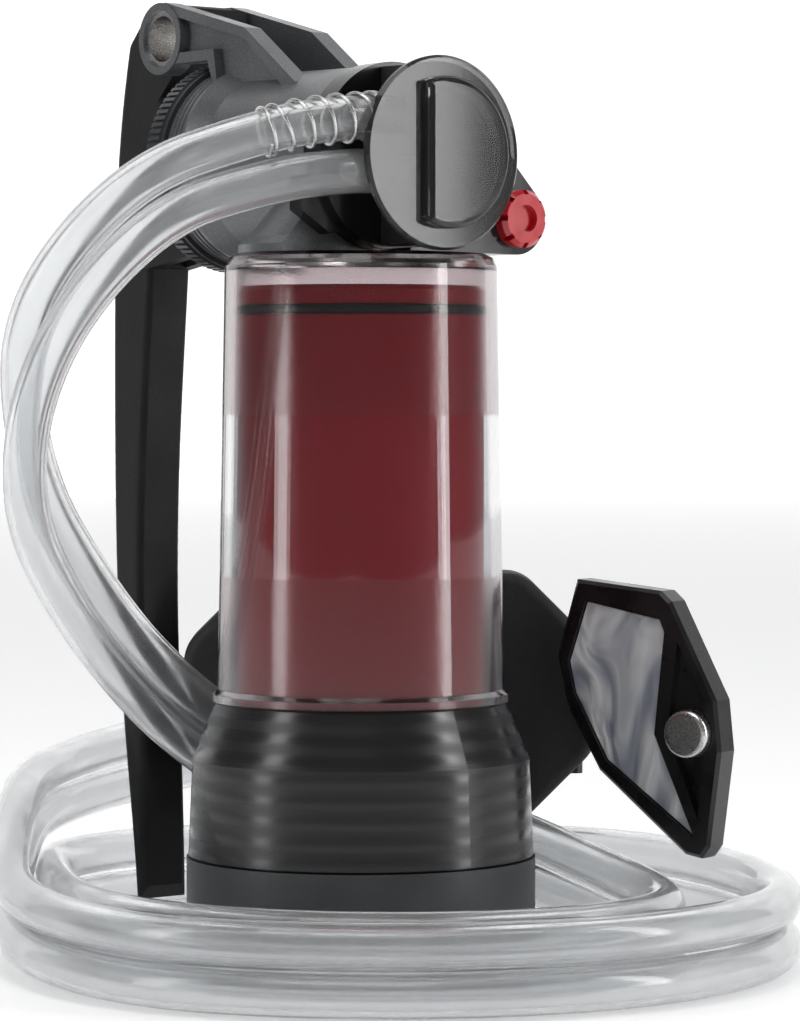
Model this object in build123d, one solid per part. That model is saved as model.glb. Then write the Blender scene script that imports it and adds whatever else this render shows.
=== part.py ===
from build123d import *
import math
import os

# Pump water filter. Millimetres, +Z up, origin at the middle of the base cap's underside,
# on the filter cartridge's axis. The pump barrel lies along X: its valve cover is at +X and
# its lever at -X. The hoses leave towards -Y.

# Overall sizes
base_height = 23.5
skirt_height = 33.5
housing_height = 97.1
housing_radius = 31.3
housing_top_radius = 29.7
neck_height = 20.8
barrel_radius = 19.7
barrel_length = 48.0
hose_od = 9.5
hose_id = 6.35

# Walls, gaps and fits
cap_wall = 2.4
skirt_wall = 5.8
housing_wall = 2.2
barrel_wall = 4.0
seam_gap = 0.5
face_gap = 0.1
free_gap = 0.35
running_fit = 0.05
press_gap = 0.02

# Bottle socket
socket_radius = 31.9
thread_depth = 1.4
lead_in = 1.0
thread_pitch = 4.5
thread_turns = 4
deck_thickness = 3.0
gasket_thickness = 2.0

# Filter cartridge
core_wall = 1.8
core_headroom = 4.9
core_stem_radius = 9.0
outlet_radius = 5.0
ring_section = 2.0
ring_below_top = 5.2
potting_thickness = 6.0

# Barrel and piston
lip_radius = 22.3
lip_length = 6.0
shoulder_length = 6.0
liner_bore = 14.0
liner_wall = 1.6
piston_length = 8.0
rod_radius = 4.0
tongue_half_width = 2.5
cross_pin_radius = 2.0
cap_flange_radius = 23.8
cap_flange_length = 6.4
cap_spigot_length = 6.5
bush_wall = 2.0
knurl_count = 90
knurl_depth = 0.7

# Yoke, lever and its cam slot
hinge_x = -59.0
hinge_above_barrel = 29.4
boss_radius = 8.15
ear_inner = 7.0
ear_web = 2.2
ear_flange = 4.6
hinge_pin_radius = 6.4
hinge_pin_wall = 1.2
hinge_bush_wall = 0.8
hub_radius = 8.0
lever_half_width = 6.2
swing_degrees = 55.0
cross_pin_ahead = -4.0
slot_clearance = 0.12

# Valve end
plate_thickness = 6.0
lug_thickness = 11.5
plate_radius = 20.3
lug_radius = 7.8
knob_y = 29.6
knob_drop = 12.9
knob_radius = 6.35
knob_height = 3.2
knob_stem_radius = 2.6
valve_body_depth = 14.6
valve_body_radius = 19.4
valve_flat_y = -4.0
chamber_radius = 12.5
cover_radius = 20.7
cover_thickness = 2.0
plateau_height = 2.8
plateau_radius = 16.2
plateau_flat_y = -6.4
port_radius = 2.6
port_y = 5.0
check_valve_radius = 4.2

# Hose route of the bonded pair: points of its middle line, then the hoses' centre distance.
pair_pitch = 9.9
pair_route = [
    (22.3, -12.0, 177.2, 11.4),
    (22.0, -27.0, 176.4, 11.0),
    (17.2, -43.5, 172.5, 10.2),
    (7.0, -58.0, 164.0, pair_pitch),
    (-5.5, -68.0, 150.0, pair_pitch),
    (-17.0, -73.0, 134.0, pair_pitch),
    (-26.0, -73.0, 117.0, pair_pitch),
    (-35.0, -67.0, 99.0, pair_pitch),
    (-42.0, -55.0, 82.0, pair_pitch),
    (-47.0, -40.0, 67.5, pair_pitch),
    (-50.0, -23.0, 55.0, pair_pitch),
    (-49.0, -5.0, 44.5, pair_pitch),
    (-44.0, 13.0, 36.0, pair_pitch),
    (-34.0, 30.0, 30.0, pair_pitch),
    (-19.0, 42.0, 25.0, pair_pitch),
    (-1.0, 48.5, 19.5, pair_pitch),
    (20.0, 51.5, 14.0, pair_pitch),
    (41.0, 48.0, 11.0, pair_pitch),
    (60.0, 36.5, 9.9, pair_pitch),
    (71.0, 18.0, 9.9, pair_pitch),
    (73.0, -5.0, 9.9, pair_pitch),
    (64.0, -28.0, 9.9, pair_pitch),
    (46.0, -49.0, 9.9, pair_pitch),
    (21.0, -61.0, 9.9, pair_pitch),
    (-6.0, -63.0, 9.9, pair_pitch),
    (-30.0, -55.5, 9.9, pair_pitch),
    (-52.0, -44.5, 9.9, pair_pitch),
    (-72.0, -33.0, 9.9, pair_pitch),
    (-91.0, -20.5, 9.9, pair_pitch),
    (-103.0, -3.0, 9.9, pair_pitch),
    (-107.0, 18.0, 9.9, pair_pitch),
    (-101.0, 39.0, 9.9, pair_pitch),
    (-87.0, 55.5, 10.2, pair_pitch),
    (-67.0, 67.5, 11.0, pair_pitch),
    (-43.0, 79.5, 12.0, pair_pitch),
    (-14.0, 89.0, 12.5, pair_pitch),
    (15.0, 90.0, 11.5, pair_pitch),
    (43.0, 82.0, 10.2, pair_pitch),
    (66.0, 65.0, 9.9, pair_pitch),
    (83.0, 40.0, 9.9, pair_pitch),
    (90.0, 10.0, 9.9, pair_pitch),
    (85.0, -21.0, 9.9, pair_pitch),
    (71.0, -47.0, 9.9, pair_pitch),
    (49.0, -67.0, 9.9, pair_pitch),
    (23.0, -78.0, 10.0, pair_pitch),
    (-6.0, -78.0, 11.0, pair_pitch),
    (-34.0, -69.0, 13.0, pair_pitch),
    (-55.0, -56.0, 18.5, pair_pitch),
    (-74.0, -41.0, 26.0, pair_pitch),
    (-92.0, -25.5, 30.2, pair_pitch),
    (-105.0, -6.5, 32.5, pair_pitch),
    (-107.5, 15.0, 36.0, pair_pitch),
    (-100.0, 36.5, 40.5, pair_pitch),
    (-85.0, 52.0, 44.5, pair_pitch),
    (-68.0, 62.0, 46.5, pair_pitch),
    (-53.5, 69.7, 47.0, pair_pitch),
    (-39.4, 80.7, 47.0, pair_pitch),
]
spring_wire = 0.8
spring_pitch = 4.8
spring_turns = 5.5
spring_clearance = 0.15

# Float and prefilter, upright, turned together about Z
float_heading = 52.0
float_left = -41.0
float_right = 54.6
float_front = 52.0
float_thickness = 20.0
float_bottom = 25.1
float_height = 57.8
float_corner = 17.0
prefilter_turn = -32.0
prefilter_x = 47.0
prefilter_y = 41.8
frame_depth = 7.0
frame_outline = [
    (2.5, 82.0), (-2.6, 64.5), (0.0, 53.0), (8.4, 38.5), (30.4, 20.6), (34.6, 19.8),
    (36.6, 22.5), (39.4, 44.0), (38.2, 55.5), (26.8, 77.5), (24.2, 79.8),
]
screen_outline = [
    (4.9, 77.1), (24.0, 73.4), (25.2, 70.6), (22.7, 47.4), (33.0, 24.2), (10.3, 40.8),
    (1.9, 56.0), (0.3, 63.2),
]
recess_outline = [(28.4, 68.5), (35.6, 55.0), (33.8, 28.5), (26.0, 47.4)]
weight_x = 31.8
weight_z = 47.9
weight_radius = 5.45
hub_x = 15.0
hub_z = 56.0
hub_length = 6.0
manifold_half = 6.0
manifold_seat = 1.2

# Levels and stations that follow from the sizes above
base_radius = socket_radius + skirt_wall + 0.4
core_radius = housing_top_radius - housing_wall - 0.7
skirt_base = base_height + seam_gap
housing_base = skirt_base + skirt_height
housing_top = housing_base + housing_height
barrel_z = housing_top + neck_height
hinge_z = barrel_z + hinge_above_barrel
barrel_front = 6.0
barrel_rear = barrel_front - barrel_length
lead_radius = socket_radius + lead_in
thread_start = skirt_base + 4.0
deck_top = housing_base - 7.0
deck_base = deck_top - deck_thickness
plate_front = barrel_front + face_gap + plate_thickness
body_front = plate_front + face_gap + valve_body_depth
cover_base = body_front + face_gap
cover_front = cover_base + cover_thickness + plateau_height
cap_rear = barrel_rear - cap_flange_length
cross_pin_x = hinge_x + cross_pin_ahead
lug_front = barrel_front + face_gap + lug_thickness
liner_radius = liner_bore + liner_wall
piston_front = barrel_front - barrel_wall - 0.6


def save(shape, name):
    shape.label = name
    export_step(shape, f"parts/{name}.step")


def turned(points):
    """Solid of revolution about Z of a closed outline of (radius, height) points."""
    outline = make_face(Polyline(*[(r, 0, z) for r, z in points], close=True))
    return revolve(outline, Axis.Z)


def turned_x(points):
    """Solid of revolution about the barrel axis of (radius, x) points."""
    return Pos(0, 0, barrel_z) * Rot(0, 90, 0) * turned(points)


def rod_x(radius, x_from, x_to, y=0.0, z=0.0):
    """Round bar along X, at y and z from the barrel axis."""
    bar = Cylinder(radius, x_to - x_from, align=(Align.CENTER, Align.CENTER, Align.MIN))
    return Pos(x_from, y, barrel_z + z) * Rot(0, 90, 0) * bar


def rod_y(radius, y_from, y_to, x, z):
    """Round bar along Y through (x, z)."""
    bar = Cylinder(radius, y_to - y_from, align=(Align.CENTER, Align.CENTER, Align.MIN))
    return Pos(x, y_from, z) * Rot(-90, 0, 0) * bar


def rod_z(radius, z_from, z_to):
    bar = Cylinder(radius, z_to - z_from, align=(Align.CENTER, Align.CENTER, Align.MIN))
    return Pos(0, 0, z_from) * bar


def plate_y(points, y_from, y_to):
    """Plate with an outline in X and Z, between two values of Y."""
    face = make_face(Polyline(*[(x, y_from, z) for x, z in points], close=True))
    return extrude(face, y_to - y_from, dir=(0, 1, 0))


def plate_x(points, x_from, x_to):
    """Plate with an outline in Y and Z (from the barrel axis), between two values of X."""
    face = make_face(Polyline(*[(x_from, y, barrel_z + z) for y, z in points], close=True))
    return extrude(face, x_to - x_from, dir=(1, 0, 0))


def housing_outer(z):
    """Outside radius of the tapered housing at height z."""
    share = (z - housing_base) / housing_height
    return housing_radius + (housing_top_radius - housing_radius) * share


# ---- foot, bottle adapter and cartridge ----

def make_base_cap():
    spigot = base_radius - cap_wall
    edge = 1.2
    return turned([
        (0, 0), (base_radius - edge, 0), (base_radius, edge), (base_radius, base_height),
        (spigot, base_height), (spigot, cap_wall + 1.2), (spigot - 1.2, cap_wall), (0, cap_wall),
    ])


def make_bottle_adapter():
    spigot = base_radius - cap_wall - free_gap
    spigot_end = cap_wall + free_gap + 2.0
    outer = socket_radius + skirt_wall
    waist = skirt_base + 20.9
    neck = housing_radius + 0.3
    body = turned([
        (lead_radius, spigot_end), (spigot, spigot_end), (spigot, skirt_base),
        (outer, skirt_base), (outer - 0.9, waist), (neck, housing_base - face_gap),
        (core_radius + 1.0, housing_base - face_gap), (core_radius + 1.0, deck_top),
        (core_stem_radius + 0.3, deck_top), (core_stem_radius + 0.3, deck_base),
        (socket_radius, deck_base), (socket_radius, thread_start - lead_in),
        (lead_radius, thread_start - lead_in),
    ])
    crest = thread_pitch * 0.3
    for turn in range(thread_turns):
        low = thread_start + turn * thread_pitch
        inner = socket_radius - thread_depth
        ridge = make_face(Polyline(
            (socket_radius + 0.3, 0, low), (inner, 0, low + crest),
            (inner, 0, low + 2 * crest), (socket_radius + 0.3, 0, low + 3 * crest), close=True,
        ))
        first = -62 + 90 * turn
        ridge = Rot(0, 0, first) * revolve(ridge, Axis.Z, revolution_arc=300)
        body += ridge
    return body


def make_bottle_gasket():
    top = deck_base - face_gap
    return turned([
        (socket_radius - 7, top - gasket_thickness), (socket_radius - 0.4, top - gasket_thickness),
        (socket_radius - 0.4, top), (socket_radius - 7, top),
    ])


def make_housing():
    rim = 1.2
    shoulder = 2.6
    inner_base = housing_radius - housing_wall
    inner_top = housing_top_radius - housing_wall
    roof = housing_top - housing_wall
    shell = turned([
        (inner_base, housing_base), (housing_radius + rim, housing_base),
        (housing_radius + rim, housing_base + 1.6), (housing_radius, housing_base + 2.6),
        (housing_top_radius, housing_top - shoulder), (housing_top_radius - 0.9, housing_top - 0.8),
        (housing_top_radius - shoulder, housing_top), (outlet_radius + 3.0, housing_top),
        (outlet_radius + 3.0, roof), (inner_top - 1.5, roof), (inner_top, roof - 1.5),
    ])
    return shell


def core_ring_level():
    return housing_top - core_headroom - ring_below_top - housing_wall


def core_ring_radius():
    inner = housing_outer(core_ring_level()) - housing_wall
    return inner - ring_section / 2 - 3 * running_fit


def make_filter_core():
    top = housing_top - core_headroom - housing_wall
    foot = deck_top + face_gap
    level = core_ring_level()
    groove = core_ring_radius() - ring_section / 2 - running_fit
    half = ring_section / 2 + 0.2
    inside = core_radius - core_wall
    shell = turned([
        (outlet_radius, deck_base - 4.0), (core_stem_radius, deck_base - 4.0),
        (core_stem_radius, foot), (core_radius, foot),
        (core_radius, level - half), (groove, level - half), (groove, level + half),
        (core_radius, level + half), (core_radius, top - 1.0), (core_radius - 1.0, top),
        (inside - 5.0, top), (inside - 5.0, top - core_wall), (inside, top - core_wall),
        (inside, foot + core_wall), (outlet_radius, foot + core_wall),
    ])
    stem_groove = turned([
        (core_stem_radius - 1.1, deck_base - 3.2), (core_stem_radius + 1, deck_base - 3.2),
        (core_stem_radius + 1, deck_base - 1.2), (core_stem_radius - 1.1, deck_base - 1.2),
    ])
    return shell - stem_groove


def make_housing_o_ring():
    return Pos(0, 0, core_ring_level()) * Torus(core_ring_radius(), ring_section / 2)


def make_outlet_o_ring():
    return Pos(0, 0, deck_base - 2.2) * Torus(core_stem_radius - 0.05, 0.95)


def potting_levels():
    low = deck_top + face_gap + core_wall + 4.0
    high = housing_top - core_headroom - housing_wall - core_wall - face_gap
    return low, high


def make_potting(low):
    radius = core_radius - core_wall - face_gap
    return rod_z(radius, low, low + potting_thickness)


def make_fibre_bundle():
    """Ring of hollow-fibre bunches standing between the two potting discs."""
    low, high = potting_levels()
    foot = low + potting_thickness + face_gap
    head = high - potting_thickness - face_gap
    bunches = []
    for ring_radius, count in ((0.0, 1), (9.2, 6), (18.4, 12)):
        for i in range(count):
            angle = 360 * i / count
            bunches.append(Rot(0, 0, angle) * Pos(ring_radius, 0, 0) * rod_z(4.4, foot, head))
    return Compound(children=bunches)


# ---- pump head ----

def ear_outline(inset=0.0):
    """Outline of a yoke ear in X and Z, behind its boss."""
    root = barrel_z + barrel_radius * 0.55
    over_cap = barrel_z + math.sqrt(cap_flange_radius ** 2 - ear_inner ** 2) + 2 * free_gap
    return [
        (hinge_x + 1.5, hinge_z + boss_radius - inset), (-27.0, hinge_z + 0.4 - inset),
        (-8.5 - inset, barrel_z + 16.8 - inset), (-8.5 - inset, root), (-36.0, root),
        (barrel_rear + 1.0 + inset, over_cap + inset), (hinge_x + 4.5, over_cap + inset),
    ]


def make_ear(side):
    inner = side * ear_inner
    web = side * (ear_inner + ear_web)
    outer = side * (ear_inner + ear_flange)
    plate = plate_y(ear_outline(), min(inner, web), max(inner, web))
    rim = plate_y(ear_outline(), min(inner, outer), max(inner, outer))
    rim -= plate_y(ear_outline(2.4), min(inner, outer) - 1, max(inner, outer) + 1)
    boss = rod_y(boss_radius, min(inner, outer + side * 0.3), max(inner, outer + side * 0.3),
                 hinge_x, hinge_z)
    return plate + rim + boss


def make_head_body():
    inner = liner_radius + running_fit
    front_wall = barrel_front - barrel_wall
    shoulder = barrel_rear + lip_length
    profile = [
        (inner, barrel_rear), (lip_radius, barrel_rear),
    ]
    for groove in range(3):
        x = barrel_rear + 1.0 + 1.5 * groove
        profile += [(lip_radius, x), (lip_radius - 0.5, x + 0.3), (lip_radius - 0.5, x + 0.6)]
        profile += [(lip_radius, x + 0.9)]
    profile += [
        (lip_radius, shoulder), (lip_radius - 0.7, shoulder + 2.0),
        (barrel_radius + 0.6, shoulder + shoulder_length), (barrel_radius, barrel_front),
        (0, barrel_front), (0, front_wall), (inner, front_wall),
    ]
    barrel = turned_x(profile)
    neck_base = housing_top + face_gap
    saddle = turned([
        (outlet_radius, neck_base), (housing_top_radius - 3.0, neck_base),
        (housing_top_radius - 3.0, neck_base + 1.8), (housing_top_radius - 5.0, neck_base + 3.4),
        (barrel_radius - 1.0, barrel_z - barrel_radius * 0.5), (outlet_radius, barrel_z - barrel_radius * 0.5),
    ])
    saddle -= rod_x(inner + 0.5, barrel_rear - 5, front_wall)
    saddle &= Pos((barrel_rear + barrel_front) / 2, 0, barrel_z) * Box(barrel_length, 90, 90)
    head = barrel + saddle
    for side in (-1, 1):
        head += make_ear(side)
    head -= rod_x(inner, barrel_rear - 1, front_wall)
    head -= rod_y(hinge_pin_radius + press_gap, -30, 30, hinge_x, hinge_z)
    for y in (-port_y, port_y):
        head -= rod_x(port_radius, front_wall - 1, barrel_front + 1, y)
    return head


def make_cylinder_liner():
    rear = barrel_rear + cap_spigot_length + face_gap
    front = barrel_front - barrel_wall - face_gap
    return turned_x([(liner_bore, rear), (liner_radius, rear), (liner_radius, front), (liner_bore, front)])


def make_end_cap():
    """Knurled cap with a spigot in the barrel and a hollow for the rod's bush and wiper."""
    spigot = liner_radius - running_fit
    spigot_end = barrel_rear + cap_spigot_length
    hollow = rod_radius + running_fit + bush_wall + press_gap
    profile = [
        (hollow, cap_rear), (cap_flange_radius - 1.0, cap_rear), (cap_flange_radius, cap_rear + 0.8),
        (cap_flange_radius, barrel_rear - 1.4), (cap_flange_radius - 0.5, barrel_rear - 1.2),
        (cap_flange_radius - 0.5, barrel_rear - face_gap), (spigot, barrel_rear - face_gap),
        (spigot, spigot_end), (hollow, spigot_end),
    ]
    cap = turned_x(profile)
    width = 2 * math.pi * cap_flange_radius / knurl_count * 0.45
    notch = Box(cap_flange_length - 1.4, knurl_depth * 2, width)
    x = (cap_rear + barrel_rear - 1.4) / 2
    cutters = []
    for i in range(knurl_count):
        angle = 360 * i / knurl_count
        place = Pos(x, 0, barrel_z) * Rot(angle, 0, 0) * Pos(0, cap_flange_radius, 0)
        cutters.append(place * notch)
    return cap - cutters


def make_rod_bush():
    outer = rod_radius + running_fit + bush_wall
    start = cap_rear + 4.0
    end = barrel_rear + cap_spigot_length
    return turned_x([
        (rod_radius + running_fit, start), (outer, start), (outer, end), (rod_radius + running_fit, end),
    ])


def make_rod_wiper():
    outer = rod_radius + running_fit + bush_wall
    start = cap_rear + 0.6
    end = cap_rear + 4.0 - face_gap
    return turned_x([
        (rod_radius + running_fit, start + 0.8), (rod_radius + 0.8, start), (outer, start),
        (outer, end), (rod_radius + running_fit, end),
    ])


def make_piston_rod():
    """Rod from the piston's nose to a flat tongue for the cross pin."""
    tongue_end = cross_pin_x - 3.8
    tongue_root = cross_pin_x + 12.0
    shaft = rod_x(rod_radius, tongue_root, piston_front - 1.5)
    tongue = Pos((tongue_end + tongue_root + 1) / 2, 0, barrel_z) * Box(
        tongue_root + 1 - tongue_end, 2 * tongue_half_width, 2 * rod_radius - 1.2)
    rod = shaft + tongue
    return rod - rod_y(cross_pin_radius + press_gap, -9, 9, cross_pin_x, barrel_z)


def make_piston():
    radius = liner_bore - 0.4
    rear = piston_front - piston_length
    groove = radius - 2.2
    middle = (rear + piston_front) / 2
    bore = rod_radius + press_gap
    return turned_x([
        (bore, rear), (radius, rear), (radius, middle - 1.6), (groove, middle - 1.6),
        (groove, middle + 1.6), (radius, middle + 1.6), (radius, piston_front),
        (0, piston_front), (0, piston_front - 1.5 + face_gap), (bore, piston_front - 1.5 + face_gap),
    ])


def make_piston_seal():
    middle = piston_front - piston_length / 2
    outer = liner_bore - running_fit
    inner = liner_bore - 0.4 - 2.2 + press_gap
    return turned_x([
        (inner, middle - 1.5), (outer - 0.6, middle - 1.5), (outer, middle - 0.9),
        (outer, middle + 0.9), (outer - 0.6, middle + 1.5), (inner, middle + 1.5),
    ])


def make_rod_cross_pin():
    half = lever_half_width - 0.2
    return rod_y(cross_pin_radius, -half, half, cross_pin_x, barrel_z)


# ---- lever ----

def slot_point(angle):
    """Where the rod's pin lies in the lever, from the hinge, when the lever has swung by angle."""
    travel = cross_pin_ahead - hinge_above_barrel * angle
    drop = hinge_above_barrel
    x = travel * math.cos(angle) + drop * math.sin(angle)
    z = travel * math.sin(angle) - drop * math.cos(angle)
    return hinge_x + x, hinge_z + z


def make_slot():
    """Cam slot that drives the rod by the same distance for each degree of swing."""
    radius = cross_pin_radius + slot_clearance
    start = -0.03
    end = math.radians(swing_degrees) + 0.02
    steps = 8
    outer, inner = [], []
    for i in range(steps + 1):
        angle = start + (end - start) * i / steps
        x, z = slot_point(angle)
        across_x = radius * math.cos(angle)
        across_z = radius * math.sin(angle)
        outer.append((x + across_x, -20, z + across_z))
        inner.append((x - across_x, -20, z - across_z))
    top_x, top_z = slot_point(start)
    low_x, low_z = slot_point(end)
    top = (top_x - radius * math.sin(start), -20, top_z + radius * math.cos(start))
    low = (low_x + radius * math.sin(end), -20, low_z - radius * math.cos(end))
    edges = Spline(*outer) + ThreePointArc(outer[-1], low, inner[-1])
    edges += Spline(*inner[::-1]) + ThreePointArc(inner[0], top, outer[0])
    return extrude(make_face(edges), 40, dir=(0, 1, 0))


def make_handle():
    h = lever_half_width
    tip = 7.0
    face = make_face(
        Spline((-80.5, -h, 203.0), (-84.6, -h, 180.0), (-86.6, -h, 135.0), (-86.0, -h, 85.0),
               (-83.6, -h, 52.0), (-80.0, -h, 26.0), (-78.0, -h, tip + 3.0))
        + Polyline((-78.0, -h, tip + 3.0), (-76.6, -h, tip), (-75.0, -h, tip), (-73.7, -h, tip + 3.0))
        + Spline((-73.7, -h, tip + 3.0), (-75.2, -h, 50.0), (-76.2, -h, 80.0), (-75.0, -h, 115.0),
                 (-71.6, -h, 155.0), (-69.0, -h, 180.0), (-66.0, -h, 193.0))
        + Polyline((-66.0, -h, 193.0), (-61.5, -h, hinge_z - hub_radius + 0.35),
                   (-61.5, -h, hinge_z + hub_radius - 0.35), (-74.0, -h, 209.5), (-80.5, -h, 203.0))
    )
    bar = extrude(face, 2 * h, dir=(0, 1, 0))
    long_edges = [e for e in bar.edges() if e.length > 60]
    bar = fillet(long_edges, 1.9)
    hub = rod_y(hub_radius, -ear_inner + free_gap, ear_inner - free_gap, hinge_x, hinge_z)
    nose_reach = 11.0
    nose = plate_y([
        (hinge_x - 2, hinge_z + hub_radius - 0.3), (hinge_x + nose_reach - 2.5, hinge_z + 6.6),
        (hinge_x + nose_reach, hinge_z + 1.0), (hinge_x + nose_reach - 2, hinge_z - 1.5),
        (hinge_x, hinge_z - 4),
    ], -h + 0.4, h - 0.4)
    lobe = plate_y([
        (-72.0, 190.0), (hinge_x - 4.0, hinge_z - 14.0), (hinge_x + 4.5, hinge_z - 29.0),
        (hinge_x + 8.9, hinge_z - 39.0), (hinge_x + 8.3, hinge_z - 46.0),
        (hinge_x + 1.0, hinge_z - 49.5), (-74.0, hinge_z - 52.0),
    ], -h, h)
    lever = bar + hub + nose + lobe
    lever -= make_slot()
    tongue = tongue_half_width + 0.4
    lever -= plate_y([
        (-69.5, hinge_z - 18.0), (hinge_x + 12.0, hinge_z - 18.0),
        (hinge_x + 12.0, hinge_z - 60.0), (-69.5, hinge_z - 60.0),
    ], -tongue, tongue)
    bush_seat = hinge_pin_radius + running_fit + hinge_bush_wall + press_gap
    lever -= rod_y(bush_seat, -20, 20, hinge_x, hinge_z)
    return lever


def make_hinge_bushes():
    bore = hinge_pin_radius + running_fit
    outer = bore + hinge_bush_wall
    reach = ear_inner - free_gap
    bushes = []
    for low, high in ((-reach, -0.6), (0.6, reach)):
        bushes.append(rod_y(outer, low, high, hinge_x, hinge_z) - rod_y(bore, low - 1, high + 1, hinge_x, hinge_z))
    return Compound(children=bushes)


def make_hinge_pin():
    half = ear_inner + ear_flange - 0.6
    pin = rod_y(hinge_pin_radius, -half, half, hinge_x, hinge_z)
    return pin - rod_y(hinge_pin_radius - hinge_pin_wall, -half - 1, half + 1, hinge_x, hinge_z)


# ---- valve end ----

def disc_and_lug(radius):
    """Round plate joined to the thicker screw lug by straight flanks."""
    x_from = barrel_front + face_gap
    disc = rod_x(radius, x_from, plate_front)
    lug = rod_x(lug_radius, x_from, lug_front, knob_y, -knob_drop)
    angle = math.atan2(-knob_drop, knob_y)
    distance = math.hypot(knob_y, knob_drop)
    lean = math.acos((radius - lug_radius) / distance)
    corners = []
    for sign in (1, -1):
        a = angle + sign * lean
        corners.append((radius * math.cos(a), radius * math.sin(a)))
        corners.append((knob_y + lug_radius * math.cos(a), -knob_drop + lug_radius * math.sin(a)))
    web = plate_x([corners[0], corners[1], corners[3], corners[2]], x_from, lug_front)
    room = rod_x(valve_body_radius + free_gap, plate_front, lug_front + 1)
    return disc + (lug + web - room)


def make_valve_plate():
    plate = disc_and_lug(plate_radius)
    x_from = barrel_front + face_gap
    wing = plate_x([(-24.0, -4.5), (-24.0, -12.0), (-16.0, -17.0), (-4.0, -14.0), (-8.0, -3.5)], x_from, x_from + 4.0)
    plate += wing
    for y in (-port_y, port_y):
        plate -= rod_x(port_radius, x_from - 1, plate_front + 1, y)
        plate -= rod_x(check_valve_radius + 0.5, plate_front - 2.4, plate_front + 1, y)
    plate -= rod_x(knob_stem_radius + running_fit, x_from - 1, lug_front + 1, knob_y, -knob_drop)
    return plate - spring_channel()


def make_check_valve(y):
    """Flat disc valve with a short guide stem in its port."""
    seat = plate_front - 2.4
    disc = rod_x(check_valve_radius, seat + 0.02, seat + 1.0, y)
    return disc + rod_x(1.2, seat - 2.0, seat + 0.5, y)


def d_outline(radius, flat_y, x_from, x_to):
    """Round boss cut by a flat that faces -Y."""
    boss = rod_x(radius, x_from, x_to)
    keep = Pos((x_from + x_to) / 2, flat_y + 50, barrel_z) * Box(x_to - x_from + 2, 100, 100)
    return boss & keep


def make_valve_body():
    start = plate_front + face_gap
    body = d_outline(valve_body_radius, valve_flat_y, start, body_front)
    cavity = d_outline(chamber_radius, valve_flat_y + 2.4, start - 1, body_front + 1)
    body -= cavity
    for z in (pair_route[0][3] / 2, -pair_route[0][3] / 2):
        middle = pair_route[0][2] + z
        body -= rod_y(hose_id / 2 - 1.0, valve_flat_y - 2, valve_flat_y + 4, pair_route[0][0], middle)
        body -= rod_y(hose_id / 2 + press_gap, valve_flat_y - 2, valve_flat_y + 1.2, pair_route[0][0], middle)
    return body - gasket_ring(press_gap, 1.0 + press_gap)


def gasket_ring(margin, depth):
    """D-shaped ring let into the valve body's front; margin makes its groove."""
    start = body_front - depth
    outer = valve_body_radius - 1.2 + margin
    inner = valve_body_radius - 2.4 - margin
    ring = d_outline(outer, valve_flat_y + 0.7 - margin, start, body_front)
    return ring - d_outline(inner, valve_flat_y + 1.7 + margin, start - 1, body_front + 1)


def make_valve_cover():
    """Clear disc with a raised D-shaped plateau and a shallow hollow behind it."""
    edge = 0.6
    disc = turned_x([
        (0, cover_base), (cover_radius - 0.4, cover_base), (cover_radius, cover_base + 0.5),
        (cover_radius, cover_base + cover_thickness - edge),
        (cover_radius - edge, cover_base + cover_thickness), (0, cover_base + cover_thickness),
    ])
    plateau = d_outline(plateau_radius, plateau_flat_y, cover_base + 1, cover_front)
    front_edges = plateau.edges().filter_by_position(Axis.X, cover_front - 0.01, cover_front + 0.01)
    plateau = fillet(front_edges, 1.6)
    cover = disc + plateau
    hollow = d_outline(plateau_radius - 2.0, plateau_flat_y + 2.0, cover_base - 1, cover_front - 2.2)
    return cover - hollow - spring_channel()


def make_thumb_knob():
    base = lug_front + face_gap
    top = base + knob_height
    knob = rod_x(knob_radius, base, top, knob_y, -knob_drop)
    rim = knob.edges().filter_by_position(Axis.X, top - 0.01, top + 0.01)
    knob = chamfer(rim, 0.9)
    knob -= rod_x(3.0, top - 1.6, top + 1, knob_y, -knob_drop)
    for i in range(8):
        place = Pos(top, knob_y, barrel_z - knob_drop) * Rot(45 * i, 0, 0) * Pos(0, knob_radius, 0)
        knob -= place * Box(6.0, 2.2, 1.2)
    stem = rod_x(knob_stem_radius, barrel_front + 1.0, base + 0.5, knob_y, -knob_drop)
    return knob + stem


def make_barb(z_offset):
    """Hollow spigot with two barbs, from the valve body's flat out along -Y."""
    x = pair_route[0][0]
    z = pair_route[0][2] + z_offset
    root = valve_flat_y + 1.2
    face = pair_route[0][1]
    tip = face - 9.0
    r = hose_id / 2
    body = rod_y(r - press_gap, tip, root, x, z)
    collar = rod_y(r + 0.9, face + face_gap, face + 1.6, x, z)
    body = body + collar
    return body - rod_y(r - 1.1, tip - 1, root + 1, x, z)


# ---- hoses ----

def hose_paths():
    """Routes of the upper and the lower hose: the pair's middle line, half a pitch each way."""
    middle = [Vector(x, y, z) for x, y, z, pitch in pair_route]
    upper, lower = [], []
    last = len(middle) - 1
    for i, point in enumerate(middle):
        along = (middle[min(i + 1, last)] - middle[max(i - 1, 0)]).normalized()
        up = (Vector(0, 0, 1) - along * along.Z).normalized()
        half = pair_route[i][3] / 2
        upper.append(point + up * half)
        lower.append(point - up * half)
    return upper, lower


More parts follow.
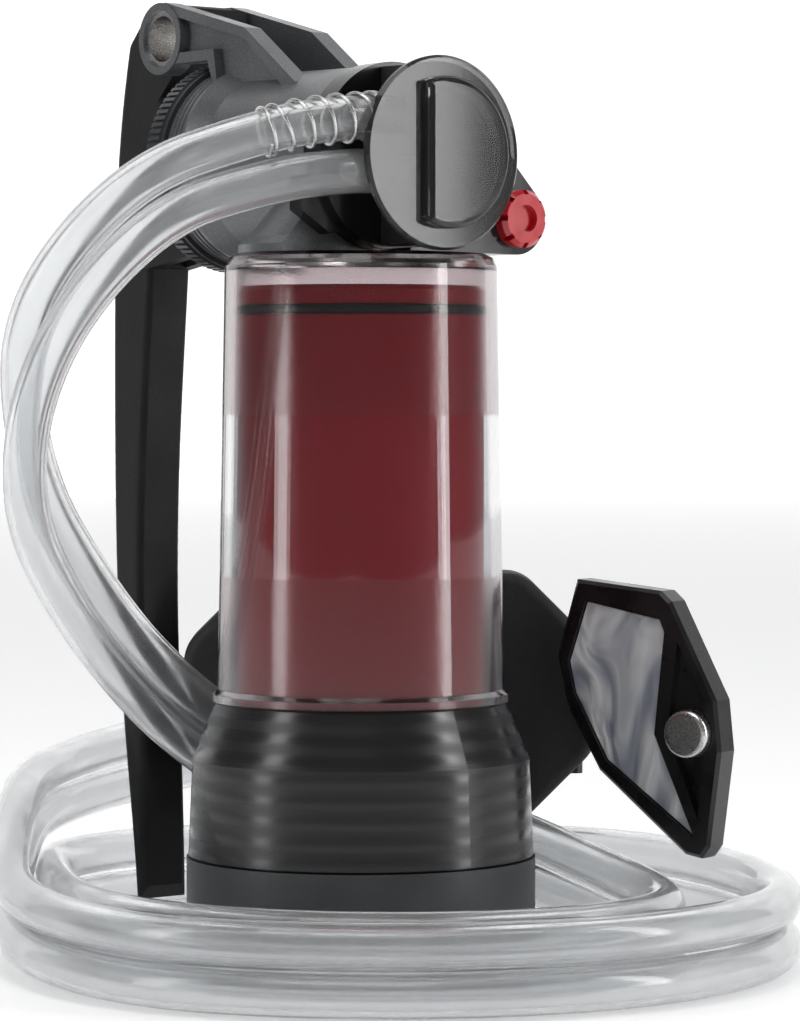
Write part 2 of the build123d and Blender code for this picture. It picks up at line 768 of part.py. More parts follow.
def make_hose(points, name):
    """Plain round hose: straight runs joined by arcs as large as the runs allow."""
    radii = []
    for before, point, after in zip(points, points[1:], points[2:]):
        turn = math.radians((point - before).get_angle(after - point))
        shorter = min((point - before).length, (after - point).length)
        radii.append(0.45 * shorter / math.tan(turn / 2))
    path = FilletPolyline(*points, radius=radii)
    start = Plane(origin=points[0], z_dir=points[1] - points[0])
    hose = sweep(start * Circle(hose_od / 2), path=path)
    section = math.pi * (hose_od / 2) ** 2
    print(name, "length", round(path.length, 1), "volume ratio",
          round(hose.volume / (section * path.length), 4))
    print(name, "radii", [round(r) for r in radii])
    return hose


def spring_radius():
    return hose_od / 2 + spring_wire / 2 + spring_clearance


def spring_channel():
    """Room for the kink spring beside the upper hose's exit."""
    x, y, z, pitch = pair_route[0]
    return rod_y(spring_radius() + spring_wire, -40, y + 2.0, x, z + pitch / 2)


def make_kink_spring(points):
    """Open coil of steel wire round the upper hose where it leaves the head."""
    start = points[0]
    along = (points[1] - points[0]).normalized()
    coil = Helix(spring_pitch, spring_pitch * spring_turns, spring_radius())
    frame = Plane(origin=start + along * 1.5, z_dir=along)
    path = frame * coil
    section = Plane(origin=path @ 0, z_dir=path % 0) * Circle(spring_wire / 2)
    return sweep(section, path=path, is_frenet=True)


# ---- float and prefilter ----

def in_float_frame(shape):
    return Rot(0, 0, float_heading) * shape


def make_float():
    """Octagonal foam slab in two layers with a groove round its edge."""
    c = float_corner
    left, right = float_left, float_right
    low, high = float_bottom, float_bottom + float_height
    points = [
        (left + c, low), (right - c, low), (right, low + c), (right, high - c),
        (right - c, high), (left + c, high), (left, high - c), (left, low + c),
    ]
    slab = plate_y(points, float_front, float_front + float_thickness)
    upright = [e for e in slab.edges() if abs(e.length - float_thickness) < 0.01]
    slab = fillet(upright, 9.0)
    faces = slab.edges().filter_by_position(Axis.Y, float_front - 0.01, float_front + 0.01)
    slab = fillet(faces, 2.6)
    back = float_front + float_thickness
    faces = slab.edges().filter_by_position(Axis.Y, back - 0.01, back + 0.01)
    slab = fillet(faces, 2.6)
    return in_float_frame(slab)


def in_prefilter_frame(shape):
    place = Pos(prefilter_x, prefilter_y, 0) * Rot(0, 0, prefilter_turn)
    return in_float_frame(place * shape)


def scaled_outline(points, share):
    """Outline drawn in towards its middle by a share of its size."""
    mx = sum(x for x, z in points) / len(points)
    mz = sum(z for x, z in points) / len(points)
    return [(mx + (x - mx) * share, mz + (z - mz) * share) for x, z in points]


def make_prefilter_frame():
    frame = plate_y(frame_outline, 0, frame_depth)
    front = frame.edges().filter_by_position(Axis.Y, -0.01, 0.01)
    frame = chamfer(front, 0.8)
    frame -= plate_y(screen_outline, -1, frame_depth - 2.0)
    frame -= plate_y(recess_outline, -1, 2.6)
    frame -= rod_y(weight_radius + face_gap, -1, 2.6, weight_x, weight_z)
    frame -= rod_y(1.6 + press_gap, -1, frame_depth + 1, weight_x, weight_z)
    return in_prefilter_frame(frame)


def make_prefilter_screen():
    return in_prefilter_frame(plate_y(scaled_outline(screen_outline, 0.985), 1.0, 1.8))


def make_prefilter_foam():
    outline = scaled_outline(screen_outline, 0.96)
    return in_prefilter_frame(plate_y(outline, 1.8 + face_gap, frame_depth - 2.0 - face_gap))


def make_prefilter_back():
    plate = plate_y(scaled_outline(frame_outline, 0.93), frame_depth + face_gap, frame_depth + 2.0)
    hub = rod_y(5.5, frame_depth + 1.0, frame_depth + hub_length, hub_x, hub_z)
    plate = plate + hub - rod_y(2.2, frame_depth - 1.0, frame_depth + hub_length + 1.0, hub_x, hub_z)
    return in_prefilter_frame(plate)


def make_steel_weight():
    face = -3.0
    weight = rod_y(weight_radius, face, 2.4, weight_x, weight_z)
    rim = weight.edges().filter_by_position(Axis.Y, face - 0.01, face + 0.01)
    weight = fillet(rim, 1.2)
    weight += rod_y(1.6, 2.0, frame_depth - 0.6, weight_x, weight_z)
    return in_prefilter_frame(weight)


def manifold_place():
    """Middle of the manifold block in the float's frame: along the float, and out from its back."""
    end = Vector(*pair_route[-1][:3])
    heading = math.radians(float_heading)
    along = end.X * math.cos(heading) + end.Y * math.sin(heading)
    back = end.Y * math.cos(heading) - end.X * math.sin(heading)
    return along + manifold_half + manifold_seat, back, end.Z


def make_hose_manifold():
    """Block on the float's back that takes the ends of both hoses."""
    x, y, z = manifold_place()
    depth = 2 * (y - float_front - float_thickness - face_gap)
    block = Pos(x, y, z) * Box(2 * manifold_half, depth, pair_pitch + 15.0)
    upright = block.edges().filter_by(Axis.Z)
    return in_float_frame(fillet(upright, 2.0))


def make_intake_elbow():
    """Stiff tube from the manifold round the float's end to the prefilter's hub."""
    x, y, z = manifold_place()
    turn = math.radians(prefilter_turn)
    out = Vector(-math.sin(turn), math.cos(turn), 0)
    across = Vector(math.cos(turn), math.sin(turn), 0)
    hub = Vector(prefilter_x, prefilter_y, hub_z) + across * hub_x + out * (frame_depth + hub_length)
    top = z + pair_pitch / 2
    points = [
        Vector(x + manifold_half + face_gap, y, top), Vector(float_right + 9.0, y, top),
        hub + out * 16.0, hub + out * face_gap,
    ]
    path = FilletPolyline(*points, radius=7.0)
    start = Plane(origin=points[0], z_dir=points[1] - points[0])
    return in_float_frame(sweep(start * (Circle(3.4) - Circle(2.2)), path=path))


def make_all():
    os.makedirs("parts", exist_ok=True)
    save(make_base_cap(), "base_cap")
    save(make_bottle_adapter(), "bottle_adapter")
    save(make_bottle_gasket(), "bottle_gasket")
    save(make_housing(), "housing")
    save(make_filter_core(), "filter_core")
    save(make_housing_o_ring(), "core_o_ring")
    save(make_outlet_o_ring(), "outlet_o_ring")
    low, high = potting_levels()
    save(make_potting(low), "lower_potting")
    save(make_potting(high - potting_thickness), "upper_potting")
    save(make_fibre_bundle(), "fibre_bundle")
    save(make_head_body(), "head_body")
    save(make_cylinder_liner(), "cylinder_liner")
    save(make_end_cap(), "end_cap")
    save(make_rod_bush(), "rod_bush")
    save(make_rod_wiper(), "rod_wiper")
    save(make_piston_rod(), "piston_rod")
    save(make_piston(), "piston")
    save(make_piston_seal(), "piston_seal")
    save(make_rod_cross_pin(), "rod_cross_pin")
    save(make_handle(), "handle")
    save(make_hinge_bushes(), "hinge_bushes")
    save(make_hinge_pin(), "hinge_pin")
    save(make_valve_plate(), "valve_plate")
    save(make_check_valve(-port_y), "intake_valve")
    save(make_check_valve(port_y), "outlet_valve")
    save(make_valve_body(), "valve_body")
    save(gasket_ring(0.0, 1.0), "valve_gasket")
    save(make_valve_cover(), "valve_cover")
    save(make_thumb_knob(), "thumb_knob")
    half = pair_route[0][3] / 2
    save(make_barb(half), "intake_barb")
    save(make_barb(-half), "purge_barb")
    upper, lower = hose_paths()
    save(make_hose(upper, "intake_hose"), "intake_hose")
    save(make_hose(lower, "purge_hose"), "purge_hose")
    save(make_kink_spring(upper), "kink_spring")
    save(make_float(), "float")
    save(make_prefilter_frame(), "prefilter_frame")
    save(make_prefilter_screen(), "prefilter_screen")
    save(make_prefilter_foam(), "prefilter_foam")
    save(make_prefilter_back(), "prefilter_back")
    save(make_steel_weight(), "steel_weight")
    save(make_hose_manifold(), "hose_manifold")
    save(make_intake_elbow(), "intake_elbow")


make_all()
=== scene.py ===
"""Looks of the pump water filter: materials, hoses, spring, soft pieces, camera and light."""

import math

import bpy
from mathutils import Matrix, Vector


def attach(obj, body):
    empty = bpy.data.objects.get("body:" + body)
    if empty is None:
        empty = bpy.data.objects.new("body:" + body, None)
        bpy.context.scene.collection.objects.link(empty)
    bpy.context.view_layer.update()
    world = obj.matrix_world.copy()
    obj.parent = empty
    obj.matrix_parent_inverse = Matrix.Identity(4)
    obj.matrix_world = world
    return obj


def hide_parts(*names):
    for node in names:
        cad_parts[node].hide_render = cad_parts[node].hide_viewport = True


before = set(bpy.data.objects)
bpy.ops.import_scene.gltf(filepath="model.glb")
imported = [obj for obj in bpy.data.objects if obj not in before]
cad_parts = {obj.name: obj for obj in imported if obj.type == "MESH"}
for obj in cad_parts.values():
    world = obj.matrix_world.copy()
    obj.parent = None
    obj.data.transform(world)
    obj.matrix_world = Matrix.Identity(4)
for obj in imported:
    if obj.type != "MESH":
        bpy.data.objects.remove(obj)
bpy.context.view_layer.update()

# ---------------------------------------------------------------- sizes and hose route (metres)
# Each ROUTE row is x, y, z of the pair's middle line and the spacing of the two hoses there.
PITCH = 0.0099
HOSE_RADIUS = 0.00475
BORE_RADIUS = 0.0032
WIRE_RADIUS = 0.0004
SPRING_START = 0.0015
PLASTIC_IOR = 1.5
CAMERA_AZIMUTH = 52
ROUTE = [
    (0.0223, -0.012, 0.1772, 0.0114),
    (0.022, -0.027, 0.1764, 0.011),
    (0.0172, -0.0435, 0.1725, 0.0102),
    (0.007, -0.058, 0.1665, PITCH),
    (-0.0055, -0.068, 0.153, PITCH),
    (-0.017, -0.073, 0.1365, PITCH),
    (-0.0248, -0.0715, 0.118, PITCH),
    (-0.0325, -0.0635, 0.099, PITCH),
    (-0.0375, -0.0495, 0.082, PITCH),
    (-0.042, -0.0345, 0.0675, PITCH),
    (-0.046, -0.0185, 0.055, PITCH),
    (-0.047, -0.003, 0.0448, PITCH),
    (-0.044, 0.013, 0.036, PITCH),
    (-0.034, 0.03, 0.03, PITCH),
    (-0.019, 0.042, 0.025, PITCH),
    (-0.001, 0.0485, 0.0195, PITCH),
    (0.02, 0.0515, 0.014, PITCH),
    (0.041, 0.048, 0.011, PITCH),
    (0.06, 0.0365, 0.0099, PITCH),
    (0.071, 0.018, 0.0099, PITCH),
    (0.073, -0.005, 0.0099, PITCH),
    (0.064, -0.028, 0.0099, PITCH),
    (0.046, -0.049, 0.0099, PITCH),
    (0.021, -0.061, 0.0099, PITCH),
    (-0.006, -0.063, 0.0099, PITCH),
    (-0.03, -0.0555, 0.0099, PITCH),
    (-0.052, -0.0445, 0.0099, PITCH),
    (-0.072, -0.033, 0.0099, PITCH),
    (-0.091, -0.0205, 0.0099, PITCH),
    (-0.103, -0.003, 0.0099, PITCH),
    (-0.107, 0.018, 0.0099, PITCH),
    (-0.101, 0.039, 0.0099, PITCH),
    (-0.087, 0.0555, 0.0102, PITCH),
    (-0.067, 0.0675, 0.011, PITCH),
    (-0.043, 0.0795, 0.012, PITCH),
    (-0.014, 0.089, 0.0125, PITCH),
    (0.015, 0.09, 0.0115, PITCH),
    (0.043, 0.082, 0.0102, PITCH),
    (0.066, 0.065, 0.0099, PITCH),
    (0.083, 0.04, 0.0099, PITCH),
    (0.09, 0.01, 0.0099, PITCH),
    (0.085, -0.021, 0.0099, PITCH),
    (0.071, -0.047, 0.0099, PITCH),
    (0.049, -0.067, 0.0099, PITCH),
    (0.023, -0.078, 0.01, PITCH),
    (-0.006, -0.078, 0.011, PITCH),
    (-0.034, -0.069, 0.013, PITCH),
    (-0.055, -0.056, 0.0185, PITCH),
    (-0.074, -0.041, 0.026, PITCH),
    (-0.092, -0.0255, 0.0302, PITCH),
    (-0.105, -0.0065, 0.0325, PITCH),
    (-0.1075, 0.015, 0.036, PITCH),
    (-0.1, 0.0365, 0.0405, PITCH),
    (-0.085, 0.052, 0.0445, PITCH),
    (-0.068, 0.062, 0.0465, PITCH),
    (-0.0535, 0.0697, 0.047, PITCH),
    (-0.0394, 0.0807, 0.047, PITCH),
]


def make_camera():
    yaw = math.radians(0.552)
    pitch = math.radians(1.633)
    ahead = Vector((-0.788, 0.616, 0))
    right = Vector((0.616, 0.788, 0))
    look = (ahead * math.cos(yaw) + right * math.sin(yaw)) * math.cos(pitch)
    look.z = -math.sin(pitch)
    data = bpy.data.cameras.new("camera")
    data.lens = 142.8
    data.sensor_width = 36.0
    data.clip_start = 0.01
    camera = bpy.data.objects.new("camera", data)
    camera.location = (0.6958, -0.5439, 0.124)
    camera.rotation_euler = look.to_track_quat("-Z", "Y").to_euler()
    bpy.context.collection.objects.link(camera)
    bpy.context.scene.camera = camera


def hose_routes():
    """Control points of the upper and the lower hose, half a pitch from the pair's middle line."""
    middle = [Vector(p[:3]) for p in ROUTE]
    last = len(middle) - 1
    upper, lower = [], []
    for i, point in enumerate(middle):
        along = (middle[min(i + 1, last)] - middle[max(i - 1, 0)]).normalized()
        up = (Vector((0, 0, 1)) - along * along.z).normalized()
        half = ROUTE[i][3] / 2
        upper.append(point + up * half)
        lower.append(point - up * half)
    return upper, lower


def spline_curve(name, points, radius, order=3, bevel=6, resolution=10):
    """One open NURBS tube that starts and ends at the outer points."""
    curve = bpy.data.curves.new(name, "CURVE")
    curve.dimensions = "3D"
    curve.resolution_u = resolution
    curve.bevel_resolution = bevel
    spline = curve.splines.new("NURBS")
    spline.points.add(len(points) - 1)
    for slot, point in zip(spline.points, points):
        slot.co = (point[0], point[1], point[2], 1)
    spline.order_u = order
    spline.use_endpoint_u = True
    spline.resolution_u = resolution
    curve.bevel_depth = radius
    curve.use_fill_caps = True
    tube = bpy.data.objects.new(name, curve)
    bpy.context.collection.objects.link(tube)
    return tube


def centre_line(tube):
    """Points along a tube's own centre line."""
    depth = tube.data.bevel_depth
    tube.data.bevel_depth = 0
    bpy.context.view_layer.update()
    graph = bpy.context.evaluated_depsgraph_get()
    mesh = bpy.data.meshes.new_from_object(tube.evaluated_get(graph))
    points = [Vector(v.co) for v in mesh.vertices]
    bpy.data.meshes.remove(mesh)
    tube.data.bevel_depth = depth
    return points


make_camera()
upper_route, lower_route = hose_routes()
intake_hose = spline_curve("intake_tube", upper_route, HOSE_RADIUS)
purge_hose = spline_curve("purge_tube", lower_route, HOSE_RADIUS)
intake_line = centre_line(intake_hose)
purge_line = centre_line(purge_hose)


# ---------------------------------------------------------------- materials
def material(name, color, rough, metal=0.0, **values):
    """Principled material; values are its other sockets, with _ for a space."""
    made = bpy.data.materials.new(name)
    made.use_nodes = True
    shader = made.node_tree.nodes["Principled BSDF"]
    shader.inputs["Base Color"].default_value = (*color, 1)
    shader.inputs["Roughness"].default_value = rough
    shader.inputs["Metallic"].default_value = metal
    for key, value in values.items():
        shader.inputs[key.replace("_", " ")].default_value = value
    return made


def place_node(made, stretch=(1, 1, 1)):
    """Object coordinates, stretched along the row's axes."""
    tree = made.node_tree
    where = tree.nodes.new("ShaderNodeTexCoord")
    spread = tree.nodes.new("ShaderNodeMapping")
    spread.inputs["Scale"].default_value = stretch
    tree.links.new(where.outputs["Object"], spread.inputs["Vector"])
    return spread.outputs["Vector"]


def noise_node(made, scale, detail=4.0, stretch=(1, 1, 1), distortion=0.0):
    tree = made.node_tree
    noise = tree.nodes.new("ShaderNodeTexNoise")
    noise.inputs["Scale"].default_value = scale
    noise.inputs["Detail"].default_value = detail
    noise.inputs["Distortion"].default_value = distortion
    tree.links.new(place_node(made, stretch), noise.inputs["Vector"])
    return noise.outputs["Fac"]


def ramp_node(made, source, low, high, start=0.3, end=0.7):
    tree = made.node_tree
    ramp = tree.nodes.new("ShaderNodeValToRGB")
    ramp.color_ramp.elements[0].position = start
    ramp.color_ramp.elements[1].position = end
    ramp.color_ramp.elements[0].color = (*low, 1)
    ramp.color_ramp.elements[1].color = (*high, 1)
    tree.links.new(source, ramp.inputs["Fac"])
    return ramp.outputs["Color"]


def range_node(made, source, low, high, start=0.3, end=0.7):
    tree = made.node_tree
    remap = tree.nodes.new("ShaderNodeMapRange")
    remap.inputs["From Min"].default_value = start
    remap.inputs["From Max"].default_value = end
    remap.inputs["To Min"].default_value = low
    remap.inputs["To Max"].default_value = high
    tree.links.new(source, remap.inputs["Value"])
    return remap.outputs["Result"]


def link(made, source, socket):
    shader = made.node_tree.nodes["Principled BSDF"]
    made.node_tree.links.new(source, shader.inputs[socket])


def bump(made, source, distance, strength=1.0):
    tree = made.node_tree
    node = tree.nodes.new("ShaderNodeBump")
    node.inputs["Distance"].default_value = distance
    node.inputs["Strength"].default_value = strength
    tree.links.new(source, node.inputs["Height"])
    link(made, node.outputs["Normal"], "Normal")


def mottled(name, low, high, rough, scale, metal=0.0, grain=0.0, grain_scale=2500.0, **values):
    """Plastic whose colour and roughness drift a little, with a fine moulded grain."""
    made = material(name, low, sum(rough) / 2, metal, **values)
    cloud = noise_node(made, scale)
    link(made, ramp_node(made, cloud, low, high), "Base Color")
    link(made, range_node(made, cloud, *rough), "Roughness")
    if grain:
        bump(made, noise_node(made, grain_scale, 2.0), grain, 0.6)
    return made


def height_band(made, low, high, edge=0.0004):
    """1 between two heights and 0 outside, from the position along Z."""
    tree = made.node_tree
    split = tree.nodes.new("ShaderNodeSeparateXYZ")
    tree.links.new(place_node(made), split.inputs["Vector"])
    z = split.outputs["Z"]
    rise = range_node(made, z, 0.0, 1.0, low - edge, low + edge)
    fall = range_node(made, z, 1.0, 0.0, high - edge, high + edge)
    both = tree.nodes.new("ShaderNodeMath")
    both.operation = "MULTIPLY"
    tree.links.new(rise, both.inputs[0])
    tree.links.new(fall, both.inputs[1])
    return both.outputs["Value"]


def make_housing_material():
    """Smoke-tinted plastic: moulded frosted, with a polished band round its middle."""
    made = material(
        "housing_frosted", (0.62, 0.63, 0.64), 0.3,
        Transmission_Weight=1.0, IOR=PLASTIC_IOR, Specular_IOR_Level=0.3)
    band = height_band(made, 0.0848, 0.1196)
    link(made, range_node(made, band, 0.12, 0.02, 0.0, 1.0), "Roughness")
    link(made, ramp_node(made, band, (0.66, 0.6, 0.61), (0.72, 0.72, 0.73), 0.0, 1.0), "Base Color")
    tree = made.node_tree
    grain = noise_node(made, 1800.0, 2.0)
    node = tree.nodes.new("ShaderNodeBump")
    node.inputs["Distance"].default_value = 0.00006
    tree.links.new(range_node(made, band, 0.25, 0.0, 0.0, 1.0), node.inputs["Strength"])
    tree.links.new(grain, node.inputs["Height"])
    link(made, node.outputs["Normal"], "Normal")
    return made


def make_adapter_material():
    """Black translucent skirt in which the thread inside shows as slanted bands."""
    made = material("skirt_black", (0.01, 0.01, 0.011), 0.2, Specular_IOR_Level=0.55)
    tree = made.node_tree
    wave = tree.nodes.new("ShaderNodeTexWave")
    wave.bands_direction = "Z"
    wave.inputs["Scale"].default_value = 70.0
    wave.inputs["Distortion"].default_value = 1.2
    wave.inputs["Detail"].default_value = 2.0
    wave.inputs["Detail Scale"].default_value = 0.6
    tree.links.new(place_node(made, (0.12, 0.12, 1)), wave.inputs["Vector"])
    shade = ramp_node(
        made, wave.outputs["Fac"], (0.007, 0.007, 0.0075), (0.011, 0.011, 0.0115), 0.2, 0.8)
    link(made, shade, "Base Color")
    link(made, range_node(made, wave.outputs["Fac"], 0.34, 0.2, 0.0, 1.0), "Roughness")
    bump(made, wave.outputs["Fac"], 0.0004, 0.07)
    return made


def make_head_material():
    """Grey moulding with metal flake that glints in the gloss."""
    made = material("head_gunmetal", (0.1, 0.105, 0.11), 0.34, 0.45, Specular_IOR_Level=0.6)
    tree = made.node_tree
    flakes = tree.nodes.new("ShaderNodeTexVoronoi")
    flakes.inputs["Scale"].default_value = 2600.0
    tree.links.new(place_node(made), flakes.inputs["Vector"])
    shade = ramp_node(
        made, flakes.outputs["Distance"], (0.34, 0.35, 0.36), (0.12, 0.125, 0.13), 0.0, 0.32)
    link(made, shade, "Base Color")
    link(made, range_node(made, noise_node(made, 60.0), 0.27, 0.42), "Roughness")
    bump(made, noise_node(made, 1500.0, 2.0), 0.00008, 0.8)
    return made


def make_screen_material():
    """Fine milky mesh with soft folds: the colour turns blue-grey in the fold hollows as painted
    shade, and the same noise gives the folds' bump.
    """
    made = material("screen_milky", (0.8, 0.82, 0.86), 0.35, Transmission_Weight=0.15)
    fold_relief_and_shade = noise_node(made, 95.0, 1.5, (1.0, 1.0, 0.55), 1.6)
    # painted shade: colour follows the fold noise, blue-grey in the hollows and white on the crests
    shade = ramp_node(made, fold_relief_and_shade, (0.36, 0.39, 0.47), (0.93, 0.94, 0.96), 0.36, 0.6)
    link(made, shade, "Base Color")
    bump(made, fold_relief_and_shade, 0.004, 0.8)
    return made


def make_brushed(name, color, rough, scale, stretch):
    made = material(name, color, rough, 1.0)
    streaks = noise_node(made, scale, 3.0, stretch)
    link(made, range_node(made, streaks, rough * 0.6, rough * 1.5), "Roughness")
    bump(made, streaks, 0.00004, 0.6)
    return made


def make_hose_material(name, color, index, rough, clear):
    made = material(name, color, rough, Transmission_Weight=clear, IOR=index)
    haze = noise_node(made, 140.0, 3.0)
    link(made, range_node(made, haze, rough * 0.6, rough * 1.6), "Roughness")
    return made


materials = {
    "base_cap": mottled(
        "base_grey", (0.040, 0.043, 0.048), (0.050, 0.054, 0.060), (0.42, 0.52), 120.0,
        grain=0.00004),
    "bottle_adapter": make_adapter_material(),
    "housing": make_housing_material(),
    "filter_core": mottled(
        "core_crimson", (0.46, 0.003, 0.018), (0.54, 0.005, 0.026), (0.3, 0.4),
        25.0),
    "rubber": mottled(
        "rubber_black", (0.008, 0.008, 0.008), (0.014, 0.014, 0.014), (0.45, 0.6),
        200.0),
    "potting": mottled("potting_resin", (0.5, 0.42, 0.25), (0.6, 0.52, 0.33), (0.35, 0.5), 300.0),
    "fibre": mottled(
        "fibre_white", (0.7, 0.69, 0.64), (0.85, 0.84, 0.8), (0.6, 0.8), 900.0,
        grain=0.0001),
    "head": make_head_material(),
    "steel": make_brushed("steel_brushed", (0.62, 0.61, 0.6), 0.24, 900.0, (1, 1, 12)),
    "cap": mottled(
        "cap_gunmetal", (0.045, 0.047, 0.05), (0.06, 0.063, 0.067), (0.3, 0.42), 150.0,
        0.3, grain=0.00004),
    "bearing": mottled("bearing_white", (0.7, 0.69, 0.65), (0.78, 0.77, 0.73), (0.3, 0.4), 300.0),
    "lever": mottled(
        "lever_softblack", (0.006, 0.006, 0.0065), (0.013, 0.013, 0.014), (0.46, 0.62),
        70.0, grain=0.00012, grain_scale=900.0, Specular_IOR_Level=0.25),
    "plate": mottled(
        "plate_gloss", (0.007, 0.007, 0.0075), (0.012, 0.012, 0.0125), (0.12, 0.22),
        90.0),
    "valve_body": material(
        "valve_smoke", (0.03, 0.03, 0.032), 0.3, Transmission_Weight=0.1,
        IOR=PLASTIC_IOR),
    "cover": material(
        "cover_smoke", (0.16, 0.16, 0.165), 0.08, Transmission_Weight=0.9, IOR=1.4,
        Specular_IOR_Level=0.3),
    "knob": mottled(
        "knob_red", (0.46, 0.006, 0.014), (0.56, 0.01, 0.02), (0.16, 0.24), 250.0,
        Coat_Weight=0.5),
    "barb": material("barb_clear", (0.8, 0.8, 0.8), 0.08, Transmission_Weight=0.9, IOR=PLASTIC_IOR),
    "hose": make_hose_material("hose_milky", (0.9, 0.915, 0.925), 1.41, 0.1, 0.88),
    "bore": make_hose_material("bore_milky", (0.95, 0.955, 0.96), 0.71, 0.16, 0.93),
    "foam": mottled(
        "float_foam", (0.008, 0.008, 0.0085), (0.016, 0.016, 0.017), (0.6, 0.8), 300.0,
        grain=0.0002, grain_scale=1600.0),
    "frame": mottled(
        "frame_black", (0.006, 0.006, 0.0065), (0.011, 0.011, 0.0115), (0.22, 0.36),
        120.0, grain=0.00003),
    "screen": make_screen_material(),
}

NODE_LOOKS = {
    "base_cap": ("base_cap", "foot_plastic"), "bottle_adapter": ("bottle_adapter", "smoke_plastic"),
    "bottle_gasket": ("rubber", "black_rubber"), "housing": ("housing", "housing_smoke"),
    "filter_core": ("filter_core", "core_red"), "core_o_ring": ("rubber", "black_rubber"),
    "outlet_o_ring": ("rubber", "black_rubber"), "lower_potting": ("potting", "potting_resin"),
    "upper_potting": ("potting", "potting_resin"), "fibre_bundle": ("fibre", "fibre_white"),
    "head_body": ("head", "head_grey"), "cylinder_liner": ("steel", "drawn_steel"),
    "end_cap": ("cap", "cap_grey"), "rod_bush": ("bearing", "bearing_white"),
    "rod_wiper": ("rubber", "black_rubber"), "piston_rod": ("steel", "drawn_steel"),
    "piston": ("plate", "plate_black"), "piston_seal": ("rubber", "black_rubber"),
    "rod_cross_pin": ("steel", "drawn_steel"), "handle": ("lever", "lever_black"),
    "hinge_bushes": ("bearing", "bearing_white"), "hinge_pin": ("steel", "drawn_steel"),
    "valve_plate": ("plate", "plate_black"), "intake_valve": ("rubber", "black_rubber"),
    "outlet_valve": ("rubber", "black_rubber"), "valve_body": ("valve_body", "cover_smoke"),
    "valve_gasket": ("rubber", "black_rubber"), "valve_cover": ("cover", "cover_smoke"),
    "thumb_knob": ("knob", "knob_red"), "intake_barb": ("barb", "barb_clear"),
    "purge_barb": ("barb", "barb_clear"), "float": ("foam", "float_foam"),
    "prefilter_frame": ("frame", "frame_black"), "prefilter_screen": ("screen", "screen_mesh"),
    "prefilter_foam": ("fibre", "screen_mesh"), "prefilter_back": ("frame", "frame_black"),
    "steel_weight": ("steel", "drawn_steel"), "hose_manifold": ("frame", "frame_black"),
    "intake_elbow": ("frame", "frame_black"),
}
for node, (look, record_slot) in NODE_LOOKS.items():
    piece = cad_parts[node]
    piece.data.materials.clear()
    piece.data.materials.append(materials[look])


# ---------------------------------------------------------------- hoses and spring
def dress(piece, look, body="pump"):
    piece.data.materials.clear()
    piece.data.materials.append(materials[look])
    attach(piece, body)


def spring_points(line, start, radius):
    """Points of a coil round the start of a line: close end turns, then open ones."""
    reach = [0.0]
    for a, b in zip(line, line[1:]):
        reach.append(reach[-1] + (b - a).length)
    stations = [(0.0, 0.0), (1.6, 0.0016), (6.6, 0.0256), (7.9, 0.0270)]
    per_turn = 14
    count = round(stations[-1][0] * per_turn)
    side = Vector((1, 0, 0))
    points = []
    for i in range(count + 1):
        turns = i / per_turn
        for (t0, s0), (t1, s1) in zip(stations, stations[1:]):
            if t0 <= turns <= t1:
                s = start + s0 + (s1 - s0) * (turns - t0) / (t1 - t0)
        k = next(j for j in range(1, len(reach)) if reach[j] >= s)
        share = (s - reach[k - 1]) / (reach[k] - reach[k - 1])
        centre = line[k - 1].lerp(line[k], share)
        along = (line[k] - line[k - 1]).normalized()
        u = (side - along * side.dot(along)).normalized()
        v = along.cross(u)
        angle = 2 * math.pi * turns
        points.append(centre + (u * math.cos(angle) + v * math.sin(angle)) * radius)
    return points


intake_bore = spline_curve("intake_bore", upper_route, BORE_RADIUS)
purge_bore = spline_curve("purge_bore", lower_route, BORE_RADIUS)
spring_wire = spline_curve(
    "kink_coil", spring_points(intake_line, SPRING_START, HOSE_RADIUS + 0.0005), WIRE_RADIUS, 3, 3, 3)

dress(intake_hose, "hose")
dress(purge_hose, "hose")
dress(intake_bore, "bore")
dress(purge_bore, "bore")
dress(spring_wire, "steel")
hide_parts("intake_hose")
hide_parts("purge_hose")
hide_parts("kink_spring")


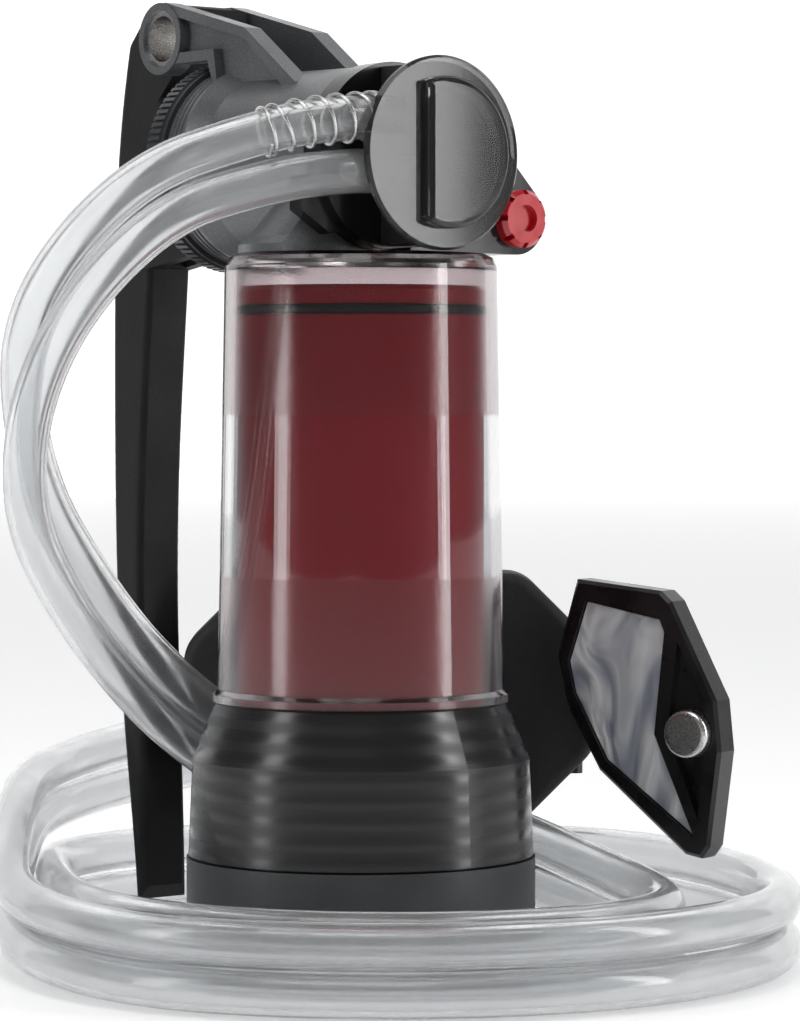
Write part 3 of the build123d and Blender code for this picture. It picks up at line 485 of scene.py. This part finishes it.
# ---------------------------------------------------------------- stage and light
def glow(name, color, strength):
    """Stage paint that gives its own even light."""
    made = bpy.data.materials.new(name)
    made.use_nodes = True
    tree = made.node_tree
    shader = tree.nodes["Principled BSDF"]
    shader.inputs["Base Color"].default_value = (*color, 1)
    shader.inputs["Emission Color"].default_value = (1, 1, 1, 1)
    shader.inputs["Emission Strength"].default_value = strength
    shader.inputs["Roughness"].default_value = 0.7
    return made


def make_stage():
    """Pale floor and a bright backdrop, far enough off to look at the object from behind too."""
    bpy.ops.mesh.primitive_plane_add(size=12.5, location=(0, 0, -0.0003))
    floor = bpy.context.object
    floor.name = "floor"
    floor.data.materials.append(glow("floor_white", (0.75, 0.75, 0.76), 0.42))
    turn = math.radians(CAMERA_AZIMUTH)
    away = Vector((-math.sin(turn), math.cos(turn), 0)) * 4.0
    bpy.ops.mesh.primitive_plane_add(size=10, location=(away.x, away.y, 3.0))
    backdrop = bpy.context.object
    backdrop.name = "backdrop"
    backdrop.rotation_euler = (math.radians(90), 0, turn)
    backdrop.data.materials.append(glow("backdrop_white", (0.6, 0.6, 0.6), 0.9))


def make_light(name, azimuth, elevation, distance, size, power, target=(0, 0, 0.11)):
    """Soft box at an azimuth from the camera's side, pointing at the object."""
    turn = math.radians(CAMERA_AZIMUTH + azimuth)
    rise = math.radians(elevation)
    back = Vector((
        math.sin(turn) * math.cos(rise), -math.cos(turn) * math.cos(rise), math.sin(rise)))
    data = bpy.data.lights.new(name, "AREA")
    data.shape = "RECTANGLE"
    data.size, data.size_y = size
    data.energy = power
    light = bpy.data.objects.new(name, data)
    light.location = Vector(target) + back * distance
    light.rotation_euler = (-back).to_track_quat("-Z", "Y").to_euler()
    bpy.context.collection.objects.link(light)


make_stage()
make_light("left_box", -68, 12, 1.0, (0.22, 1.1), 3.5)
make_light("right_box", 72, 16, 1.0, (0.16, 1.0), 4.5)
make_light("top_box", -20, 70, 1.1, (0.7, 0.7), 5.0)
world = bpy.data.worlds.new("studio")
world.use_nodes = True
world.node_tree.nodes["Background"].inputs["Color"].default_value = (1.0, 1.0, 1.0, 1)
world.node_tree.nodes["Background"].inputs["Strength"].default_value = 0.15
bpy.context.scene.world = world
bpy.context.scene.view_settings.view_transform = "Standard"
